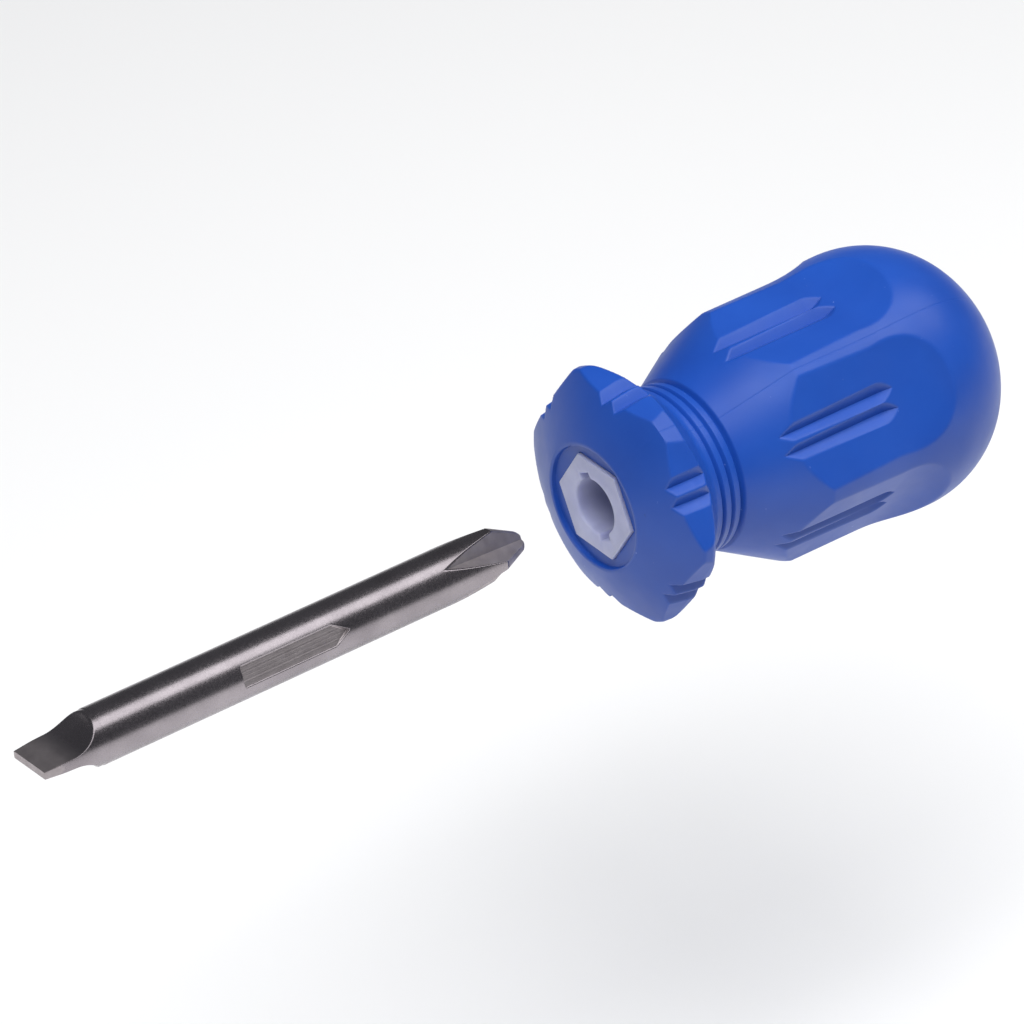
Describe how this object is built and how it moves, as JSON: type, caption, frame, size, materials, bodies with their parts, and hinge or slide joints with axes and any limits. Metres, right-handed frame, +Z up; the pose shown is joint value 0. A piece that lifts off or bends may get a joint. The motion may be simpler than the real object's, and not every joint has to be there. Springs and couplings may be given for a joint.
{
  "type": "reversible-blade screwdriver",
  "caption": "Stubby screwdriver: a domed, fluted plastic handle and a double-ended steel blade, slotted and cross tips, drawn out of its socket.",
  "frame": {"origin": "centre of the socket's mouth, on the handle's axis at the front face of the insert", "axes": "+X along the handle's axis from the socket to the tail, the blade lies towards -X; +Z up; +Y to the left seen from the tail"},
  "size_m": [0.1212, 0.0292, 0.0292],
  "materials": {
    "handle_plastic": "satin moulded polypropylene, cobalt blue",
    "insert_plastic": "milky translucent nylon",
    "blade_steel": "nickel plate over fine-grained steel"
  },
  "bodies": {
    "handle": {"handle": "handle_plastic", "socket_insert": "insert_plastic"},
    "blade": {"blade": "blade_steel"}
  },
  "joints": [
    {"name": "blade_slide", "type": "slide", "parent": "handle", "child": "blade", "axis": [1, 0, 0], "range_m": [0, 0.0467]}
  ]
}
